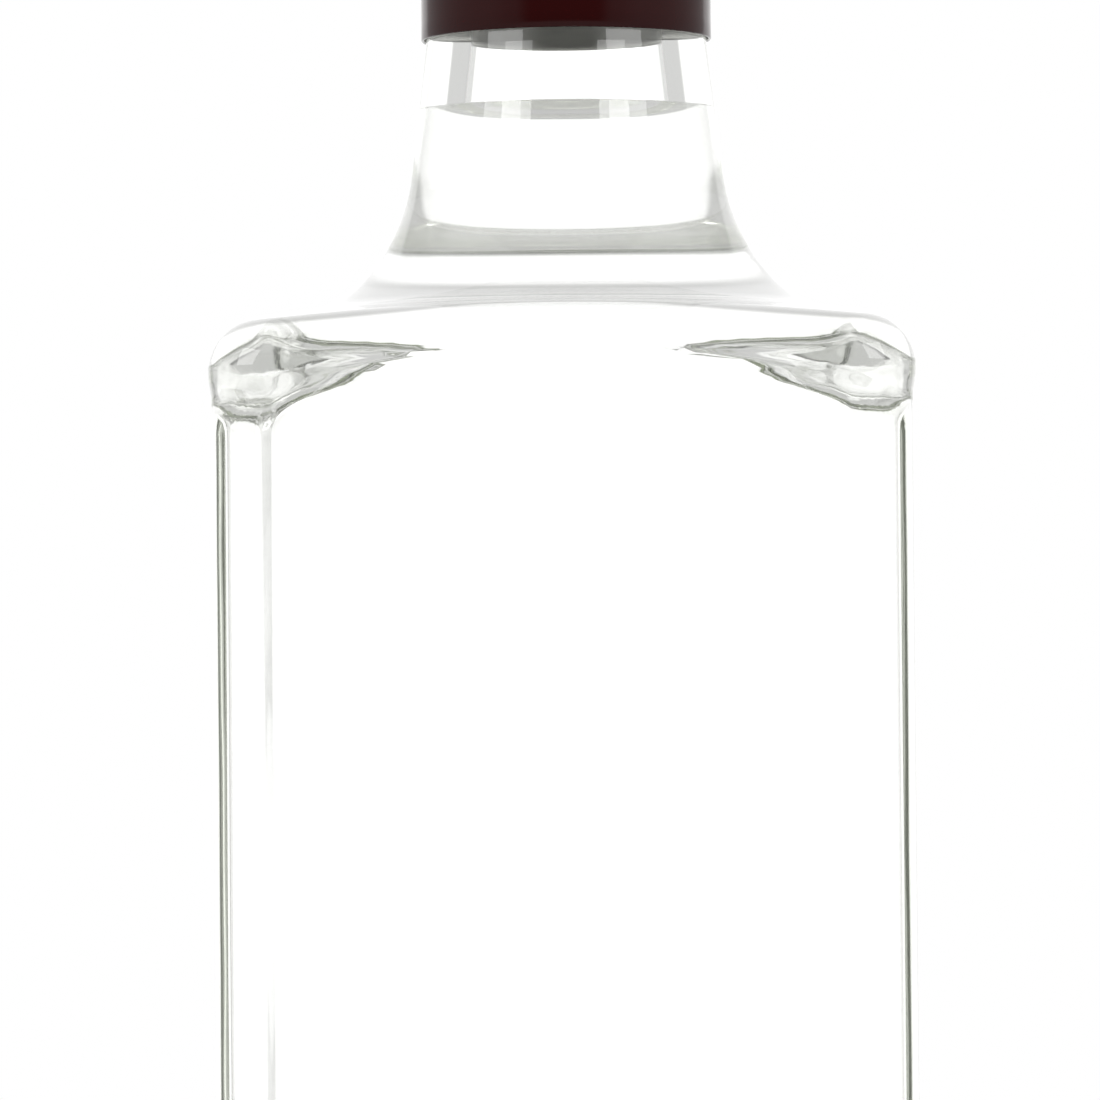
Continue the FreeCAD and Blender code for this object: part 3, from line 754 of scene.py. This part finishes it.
def make_world(context):
    """The tent: white to the eye, and in or through glass a bright back, grey sides and a dark front."""
    studio = context.scene.studio_settings
    world = bpy.data.worlds.new("light_tent")
    context.scene.world = world
    world.use_nodes = True
    tree = world.node_tree
    tree.nodes.clear()
    place = add_node(tree, "ShaderNodeTexCoord")
    split = add_node(tree, "ShaderNodeSeparateXYZ", {"Vector": place.outputs["Generated"]})
    turn = add_node(tree, "ShaderNodeMath", {0: split.outputs["X"], 1: split.outputs["Y"]},
                    operation="ARCTAN2")
    size = add_node(tree, "ShaderNodeMath", {0: turn.outputs[0]}, operation="ABSOLUTE")
    share = add_node(tree, "ShaderNodeMath", {0: size.outputs[0]}, operation="DIVIDE")
    share.inputs[1].default_value = math.pi

    # Round the tent, from the middle of the backdrop at 0 degrees to the camera at 180
    walls = add_node(tree, "ShaderNodeValToRGB", {"Fac": share.outputs[0]})
    walls.color_ramp.interpolation = "EASE"
    stops = walls.color_ramp.elements
    stops.remove(stops[-1])
    top = studio.backdrop
    for degrees, grey in (
        (0, studio.backdrop),
        (TENT_BACK[0], studio.backdrop),
        (TENT_BACK[1], studio.sides),
        (TENT_SIDE[0], studio.sides),
        (TENT_SIDE[1], studio.sides * TENT_DIM),
        (TENT_FRONT, studio.front),
        (180, studio.front),
    ):
        stop = stops.new(degrees / 180) if degrees else stops[0]
        stop.color = [grey / top] * 3 + [1]

    # The table below the walls, then the ceiling above them
    tent = walls.outputs["Color"]
    for edge, own, other, grey in ((TABLE_EDGE, 6, 7, studio.table), (ROOF_EDGE, 7, 6, studio.ceiling)):
        low, high = [math.sin(math.radians(degrees)) for degrees in edge]
        rise = add_node(tree, "ShaderNodeMapRange", {"Value": split.outputs["Z"]},
                        interpolation_type="SMOOTHSTEP", From_Min=low, From_Max=high)
        mix = add_node(tree, "ShaderNodeMix", {"Factor": rise.outputs["Result"], other: tent},
                       data_type="RGBA")
        mix.inputs[own].default_value = [grey / top] * 3 + [1]
        tent = mix.outputs[2]

    # Which of three the eye gets: the tent in or through glass, white behind, even light on the rest
    bent_light = add_node(tree, "ShaderNodeBackground", {"Color": tent}, Strength=top)
    even_light = add_node(tree, "ShaderNodeBackground", Color=WHITE, Strength=studio.plain)
    white = add_node(tree, "ShaderNodeBackground", Color=WHITE, Strength=1.0)
    ray = add_node(tree, "ShaderNodeLightPath")
    bent = add_node(tree, "ShaderNodeMath",
                    {0: ray.outputs["Is Glossy Ray"], 1: ray.outputs["Is Transmission Ray"]},
                    operation="MAXIMUM")
    light = add_node(tree, "ShaderNodeMixShader",
                     {"Fac": bent.outputs[0], 1: even_light.outputs[0], 2: bent_light.outputs[0]})
    seen = add_node(tree, "ShaderNodeMixShader",
                    {"Fac": ray.outputs["Is Camera Ray"], 1: light.outputs[0], 2: white.outputs[0]})
    add_node(tree, "ShaderNodeOutputWorld", {"Surface": seen.outputs[0]})


def make_camera(context):
    """The camera, a little to the right of the front and below the shoulder, looking slightly up."""
    studio = context.scene.studio_settings
    data = bpy.data.cameras.new("camera")
    data.lens = studio.lens
    data.sensor_width = 36.0
    camera = bpy.data.objects.new("camera", data)
    context.scene.collection.objects.link(camera)
    a = studio.azimuth
    place = Vector((studio.distance * math.sin(a), -studio.distance * math.cos(a), studio.eye))
    facing = Matrix.Rotation(a + studio.yaw, 4, "Z") @ Matrix.Rotation(math.pi / 2 + studio.pitch, 4, "X")
    camera.matrix_world = Matrix.Translation(place) @ facing @ Matrix.Rotation(-studio.roll, 4, "Z")
    context.scene.camera = camera


def make_floor(context):
    """A pale round floor that fades out into the white round it, and keeps the bottle's shadow."""
    turns = [2 * math.pi * step / FLOOR_AROUND for step in range(FLOOR_AROUND)]
    directions = [(math.cos(turn), math.sin(turn)) for turn in turns]
    rings = [at(circle_ring(FLOOR_RADIUS * share, directions), 0.0) for share in spread(0.05, 1.0, 12)]
    floor = skin("pale_floor", rings, (0.0, 0.0, 0.0))
    floor.data.materials.append(pale_paper(context))


def make_lamps(context):
    """Two soft lamps, left and right of the camera."""
    for name, place in LAMP_PLACES.items():
        data = bpy.data.lights.new(name, "AREA")
        data.size = LAMP_SIZE
        data.energy = LAMP_POWER
        data.specular_factor = 0.0
        lamp = bpy.data.objects.new(name, data)
        lamp.location = place
        lamp.rotation_euler = (Vector(LAMP_AIM) - Vector(place)).to_track_quat("-Z", "Y").to_euler()
        context.scene.collection.objects.link(lamp)


# ---------------------------------------------------------------- operators

class BOTTLE_OT_glass(bpy.types.Operator):
    """Build the clear glass bottle"""

    bl_idname = "bottle.glass"
    bl_label = "Glass bottle"

    def execute(self, context):
        make_glass(context)
        return {"FINISHED"}


class BOTTLE_OT_rum(bpy.types.Operator):
    """Fill the bottle with rum"""

    bl_idname = "bottle.rum"
    bl_label = "Rum"

    def execute(self, context):
        make_rum(context)
        return {"FINISHED"}


class BOTTLE_OT_cap(bpy.types.Operator):
    """Close the bottle with its screw cap"""

    bl_idname = "bottle.cap"
    bl_label = "Screw cap"

    def execute(self, context):
        make_cap(context)
        return {"FINISHED"}


class BOTTLE_OT_studio(bpy.types.Operator):
    """Set up the floor, the lamps, the light tent and the camera"""

    bl_idname = "bottle.studio"
    bl_label = "Studio"

    def execute(self, context):
        make_world(context)
        make_floor(context)
        make_lamps(context)
        make_camera(context)
        context.scene.view_settings.view_transform = "Standard"
        paths = context.scene.cycles
        paths.max_bounces = paths.glossy_bounces = paths.transmission_bounces = GLASS_BOUNCES
        return {"FINISHED"}


class BOTTLE_PT_parts(bpy.types.Panel):
    """The bottle's pieces and the studio"""

    bl_label = "Rum Bottle"
    bl_idname = "BOTTLE_PT_parts"
    bl_space_type = "VIEW_3D"
    bl_region_type = "UI"
    bl_category = "Bottle"

    def draw(self, context):
        for operator in OPERATORS:
            self.layout.operator(operator.bl_idname)
        for group in (context.scene.bottle_sizes, context.scene.rum_sizes, context.scene.cap_sizes,
                      context.scene.bottle_colours, context.scene.studio_settings):
            box = self.layout.box()
            for name in group.__annotations__:
                box.prop(group, name)


GROUPS = {
    "bottle_sizes": BottleSizes,
    "rum_sizes": RumSizes,
    "cap_sizes": CapSizes,
    "bottle_colours": BottleColours,
    "studio_settings": StudioSettings,
}
OPERATORS = (BOTTLE_OT_studio, BOTTLE_OT_glass, BOTTLE_OT_rum, BOTTLE_OT_cap)


def register():
    """Registers the settings, the operators and the panel."""
    for name, group in GROUPS.items():
        bpy.utils.register_class(group)
        setattr(bpy.types.Scene, name, bpy.props.PointerProperty(type=group))
    for operator in OPERATORS:
        bpy.utils.register_class(operator)
    bpy.utils.register_class(BOTTLE_PT_parts)


def unregister():
    """Takes back what register did."""
    bpy.utils.unregister_class(BOTTLE_PT_parts)
    for operator in reversed(OPERATORS):
        bpy.utils.unregister_class(operator)
    for name, group in GROUPS.items():
        delattr(bpy.types.Scene, name)
        bpy.utils.unregister_class(group)


def main():
    """Builds everything in order."""
    register()
    bpy.ops.bottle.studio()
    bpy.ops.bottle.glass()
    bpy.ops.bottle.rum()
    bpy.ops.bottle.cap()


if __name__ == "__main__":
    main()
